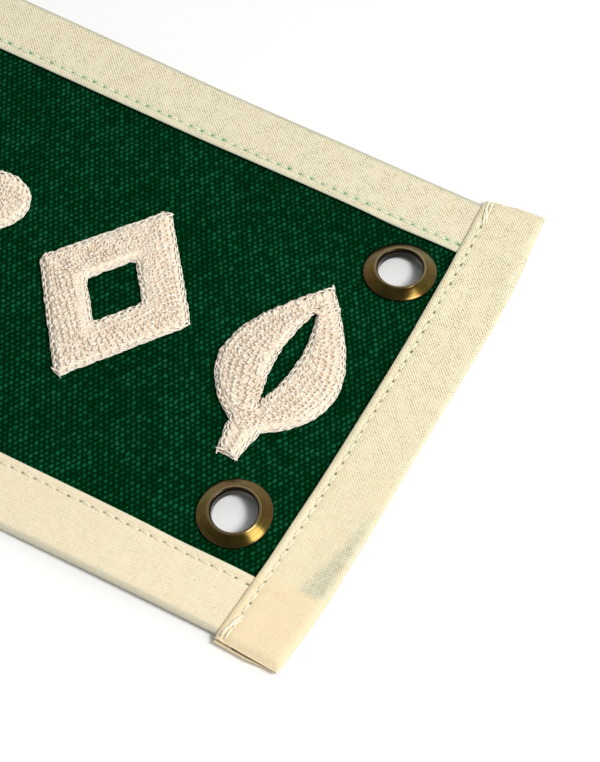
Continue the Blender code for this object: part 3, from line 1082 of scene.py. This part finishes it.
def leaf():
    high = FIGURE_HEIGHT / 2.0
    low = high - LEAF_BLADE
    middle = low + LEAF_BLADE / 2.0

    def half(t):
        return LEAF_WIDTH / 2.0 * sin(pi * t**0.75)

    right, rib = [], []
    for i in range(1, LEAF_POINTS):
        t = i / LEAF_POINTS
        if half(t) > LEAF_STALK / 2.0 or t > 0.5:
            right.append(Vector((half(t), low + LEAF_BLADE * t)))
        rib.append(Vector((LEAF_RIB / 2.0 * sin(pi * t), middle + LEAF_RIB_LENGTH * (t - 0.5))))
    left = [Vector((-spot.x, spot.y)) for spot in reversed(right)]
    stalk = [Vector((-LEAF_STALK / 2.0, -high)), Vector((LEAF_STALK / 2.0, -high))]
    ends = [Vector((0.0, middle + side * LEAF_RIB_LENGTH / 2.0)) for side in (-1.0, 1.0)]
    hole = ends[:1] + rib + ends[1:] + [Vector((-spot.x, spot.y)) for spot in reversed(rib)]
    outline = right + [Vector((0.0, high))] + left + stalk
    rungs = []
    for y in fill_rows(-high + 2.0 * MM, high - 6.0 * MM):
        t = (y - low) / LEAF_BLADE
        outer_x = max(half(max(t, 0.0)), LEAF_STALK / 2.0 if t < 0.3 else 0.0)
        along = (y - middle) / LEAF_RIB_LENGTH + 0.5
        inner_x = 0.0
        if 0.0 < along < 1.0:
            inner_x = LEAF_RIB / 2.0 * sin(pi * along) + FILL_MARGIN * 0.8 * hump(along, 0.5, 0.62)
        outer_x -= FILL_MARGIN
        if inner_x == 0.0 and outer_x > 0.3 * MM:
            rungs.append((Vector((-outer_x, y)), Vector((outer_x, y)), Vector((0.0, 1.0))))
        elif outer_x - inner_x > 0.8 * MM:
            for side in (-1.0, 1.0):
                ahead = Vector((side * 0.25, 1.0)).normalized()
                rungs.append((Vector((side * inner_x, y)), Vector((side * outer_x, y - 1.2 * MM)), ahead))
    return [outline, hole], rungs


FIGURES = {
    "star": (star, 1.80 * STAR_REACH),
    "flower": (flower, 0.91 * FIGURE_HEIGHT),
    "diamond": (diamond, DIAMOND_WIDTH),
    "leaf": (leaf, LEAF_WIDTH),
}


def stitch_spot(dice, spot, heading, height, length, width, tone, loose, roll=0.0):
    """Place, turn and scale of one link of chain that lies along the heading."""
    spot = spot + Vector((dice.gauss(0.0, 0.11), dice.gauss(0.0, 0.11))) * MM * loose
    base = surface_frame(spot.x, spot.y, height + dice.gauss(0.0, 0.035) * MM * loose)
    turn = atan2(heading.y, heading.x) + dice.gauss(0.0, 0.20) * loose
    lean = roll + dice.gauss(0.0, 0.14) * loose
    tilt = Euler((lean, dice.gauss(-0.04, 0.08) * loose, turn)).to_matrix()
    matrix = base.to_3x3() @ tilt
    stretch = dice.uniform(0.90, 1.12)
    size = (length * stretch, width * dice.uniform(0.88, 1.12), YARN * dice.uniform(0.9, 1.15))
    return base.translation, matrix.to_euler(), size, tone


def figure_spots(kind, centre, seed):
    """All the links of one figure: three rows round its edges, and arcs across its strokes."""
    dice = random.Random(seed)
    outlines, rungs = FIGURES[kind][0]()
    spots = []
    shift = Vector((centre, 0.0))
    for number, outline in enumerate(outlines):
        inward = 1.0 if number == 0 else -1.0
        sign = winding(outline) * inward
        phase = dice.uniform(0.0, ROUND)
        for layer, (distance, height, length, width) in enumerate(CHAIN_ROWS):
            row = paced(inset(outline, distance * inward), CHAIN_SPACING, True)
            for k, (spot, heading) in enumerate(row):
                tone = min(max(dice.gauss(0.90, 0.10), 0.0), 1.0)
                wave = sin(ROUND * k / len(row) * 2.0 + phase)
                wave += 0.6 * sin(ROUND * k / len(row) * 5.0)
                turned = ease(wave, -0.5, 0.8)
                roll = -sign * (0.10 + 0.95 * turned) if layer == 1 else -sign * 0.25
                shape = (height, length, width, tone, 0.5, roll)
                spots.append(stitch_spot(dice, spot + shift, heading, *shape))
    for left, right, ahead in rungs:
        wide = (right - left).length
        bulge = ahead * min(wide * FILL_BULGE, 4.0 * MM)
        line = [left + (right - left) * q - bulge * (4.0 * q * (1.0 - q) - 0.5) for q in spread(0, 1, 8)]
        row = paced(line, FILL_SPACING, False)
        for k, (spot, heading) in enumerate(row):
            across = abs(2.0 * (k + 0.5) / len(row) - 1.0)
            height = FILL_HEIGHT - 0.22 * MM * across**3
            tone = min(max(dice.gauss(0.45, 0.18), 0.0), 1.0)
            shape = (height, FILL_LENGTH, FILL_WIDTH, tone, 1.2)
            spots.append(stitch_spot(dice, spot + shift, heading, *shape))
    return outlines, spots


def pad(name, outlines, centre, material):
    """The under-layer: the figure's outline drawn in and raised, with a sloping shoulder."""
    bm = bmesh.new()
    for number, outline in enumerate(outlines):
        row = inset(outline, PAD_MARGIN if number == 0 else -PAD_MARGIN)
        closed_line(bm, [(centre + spot.x, spot.y, PLY - 0.1 * MM) for spot in row])
    bmesh.ops.triangle_fill(bm, edges=bm.edges, use_beauty=True)
    raised = bmesh.ops.extrude_face_region(bm, geom=bm.faces[:])["geom"]
    top = [item for item in raised if isinstance(item, bmesh.types.BMFace)]
    level_at(top, PAD_LOW)
    evenly = {"use_boundary": True, "use_even_offset": True}
    bmesh.ops.inset_region(bm, faces=top, thickness=PAD_SHOULDER, **evenly)
    level_at(top, PAD_TOP)
    for y in spread(-PAD_CUTS, PAD_CUTS, 8):
        everything = bm.verts[:] + bm.edges[:] + bm.faces[:]
        plane = {"plane_co": (0.0, y, 0.0), "plane_no": (0.0, 1.0, 0.0)}
        bmesh.ops.bisect_plane(bm, geom=everything, dist=1e-6, **plane)
    for vert in bm.verts:
        vert.co = lay(vert.co.x, vert.co.y, vert.co.z)
    belongs(new_object(name, bm, material, 60.0), "embroidery")


def figure(node, kind, centre, seed, template, yarn, underlay):
    outlines, spots = figure_spots(kind, centre, seed)
    stitches = scatter(node.replace("motif", "chain"), template, spots, yarn)
    belongs(stitches, "embroidery", node)
    pad(node.replace("motif", "underlay"), outlines, centre, underlay)


def embroidery(yarn, underlay):
    template = link_template()
    looks = (template, yarn, underlay)
    figure("motif_star", "star", 0.0, 11, *looks)
    edge = FIGURES["star"][1] / 2.0
    for seed, kind in enumerate(("flower", "diamond", "leaf")):
        width = FIGURES[kind][1]
        centre = edge + FIGURE_SPACE + width / 2.0
        for side, word in ((-1.0, "left"), (1.0, "right")):
            figure(f"motif_{kind}_{word}", kind, side * centre, 20 + 2 * seed + (side > 0), *looks)
        edge = centre + width / 2.0
    bpy.data.objects.remove(template, do_unlink=True)


# ---- seams


def seam(tape, template, material, thickness, slant, seed):
    """Stitches from hole to hole along a seam, with a few that lock the ends of an end strip's."""
    dice = random.Random(seed)
    reach = (HEIGHT / 2.0 - 1.0 * MM) if tape.is_end else (LENGTH / 2.0 - BINDING - 1.0 * MM)
    count = int(reach / STITCH)
    lines = []
    for k in range(-count, count):
        first, last = k * STITCH + STITCH_GAP, (k + 1) * STITCH - STITCH_GAP
        lines.append((first, -slant, last, slant, thickness, 0.0))
    for end in (-1.0, 1.0) if tape.is_end else ():
        for first, aside, last, beside, thick, lift in LOCK_STITCHES:
            start, stop = end * (tape.reach - first * MM), end * (tape.reach - last * MM)
            lines.append((start, aside * MM, stop, beside * MM, thick * MM, lift * MM))
    spots = []
    for first, aside, last, beside, thick, lift in lines:
        start, end = tape.seam_point(first, aside), tape.seam_point(last, beside)
        middle = (start + end) / 2.0 + Vector((0.0, 0.0, 0.42 * thick))
        middle.z += lift
        heading = end - start
        turn = heading.to_track_quat("X", "Z").to_euler()
        turn.z += dice.gauss(0.0, 0.03)
        size = (heading.length * dice.uniform(0.94, 1.04), thick * dice.uniform(0.9, 1.15), thick)
        spots.append((middle, turn, size, 1.0))
    belongs(scatter("seam_" + tape.edge, template, spots, material), "binding")


# ---- stage


def stage():
    bm = bmesh.new()
    bmesh.ops.create_grid(bm, x_segments=1, y_segments=1, size=4.0)
    floor = new_object("floor", bm, floor_finish())


CAMERA_AZIMUTH = radians(27.355)
CAMERA_ELEVATION = radians(59.14)
CAMERA_ROLL = radians(1.458)
CAMERA_TARGET = Vector((0.2224, 0.0004, 0.003))
CAMERA_DISTANCE = 0.7993
CAMERA_LENS = 119.92
KEY_DIRECTION = Vector((0.592, -0.087, 0.801))
BRIGHT, DIM = rgb(1.36, 1.38, 1.40), rgb(0.24, 0.243, 0.247)
KEY_COLOUR = (1.0, 0.985, 0.96)
KEY_TARGET = Vector((0.18, 0.0, 0.0))
KEY_DISTANCE = 1.3
KEYS = (("soft_key", 0.52, 6.5), ("hard_key", 0.24, 6.5))  # name, size in metres, watts
DIM_SKY = (-0.10, -0.40, 0.91)  # the sky is dimmest this way, and brightest low behind the banner


def aimed(name, data, target, back, distance, roll):
    """A new object that looks at the target from this far back, rolled by this much."""
    item = linked(name, data)
    item.location = target + back * distance
    item.rotation_mode = "QUATERNION"
    item.rotation_quaternion = back.to_track_quat("Z", "Y") @ Quaternion((0.0, 0.0, 1.0), roll)
    return item


def camera():
    data = bpy.data.cameras.new("camera")
    data.lens = CAMERA_LENS
    data.sensor_width = 36.0
    level, turn = cos(CAMERA_ELEVATION), CAMERA_AZIMUTH
    back = Vector((sin(turn) * level, -cos(turn) * level, sin(CAMERA_ELEVATION)))
    item = aimed("camera", data, CAMERA_TARGET, back, CAMERA_DISTANCE, CAMERA_ROLL)
    bpy.context.scene.camera = item


def lights():
    world = bpy.data.worlds.new("studio")
    world.use_nodes = True
    background = world.node_tree.nodes["Background"]
    background.inputs["Strength"].default_value = 1.0
    sky = Nodes(world.node_tree)
    inputs = {0: sky.add("ShaderNodeTexCoord"), 1: DIM_SKY}
    along = sky.add("ShaderNodeVectorMath", {"operation": "DOT_PRODUCT"}, inputs, "Value")
    inputs = {"Value": along, "From Min": -0.35, "From Max": 0.95}
    level = sky.add("ShaderNodeMapRange", None, inputs)
    colour = mix(level, BRIGHT, DIM)
    sky.tree.links.new(colour.socket, background.inputs["Color"])
    bpy.context.scene.world = world
    direction = KEY_DIRECTION.normalized()
    for name, size, watts in KEYS:
        data = bpy.data.lights.new(name, "AREA")
        data.energy = watts
        data.size = size
        data.color = KEY_COLOUR
        aimed(name, data, KEY_TARGET, direction, KEY_DISTANCE, 0.0)
    bpy.context.scene.view_settings.view_transform = "Standard"


# ---- making


camera()
lights()
stage()

duck = duck_finish()
yarn = yarn_finish()
underlay = pad_finish()
cream_thread = thread_finish("cream_thread", rgb(0.88, 0.84, 0.68), rgb(0.74, 0.70, 0.53))
pale_thread = thread_finish("pale_green_thread", rgb(0.88, 0.87, 0.70), rgb(0.76, 0.78, 0.58))
brass = brass_finish()

ground = ground_cloth(duck)
for eyelet_name, (eyelet_x, eyelet_y) in EYELETS.items():
    eyelet(eyelet_name, eyelet_x, eyelet_y, brass)
embroidery(yarn, underlay)

stitch_template = thread_template()
for edge, side in (("top", 1.0), ("bottom", -1.0), ("right", 1.0), ("left", -1.0)):
    is_end = edge in ("right", "left")
    tape = Tape(edge, side, is_end)
    strip = tape.build(tape_finish("cream_tape_" + edge, is_end, *TAPE_LOOKS[edge]))
    belongs(strip, "binding", "binding_" + edge)
    thread = pale_thread if edge == "top" else cream_thread
    gauge = (END_THREAD, END_SLANT) if is_end else (THREAD, SLANT)
    seam(tape, stitch_template, thread, *gauge, seed=5)
bpy.data.objects.remove(stitch_template, do_unlink=True)
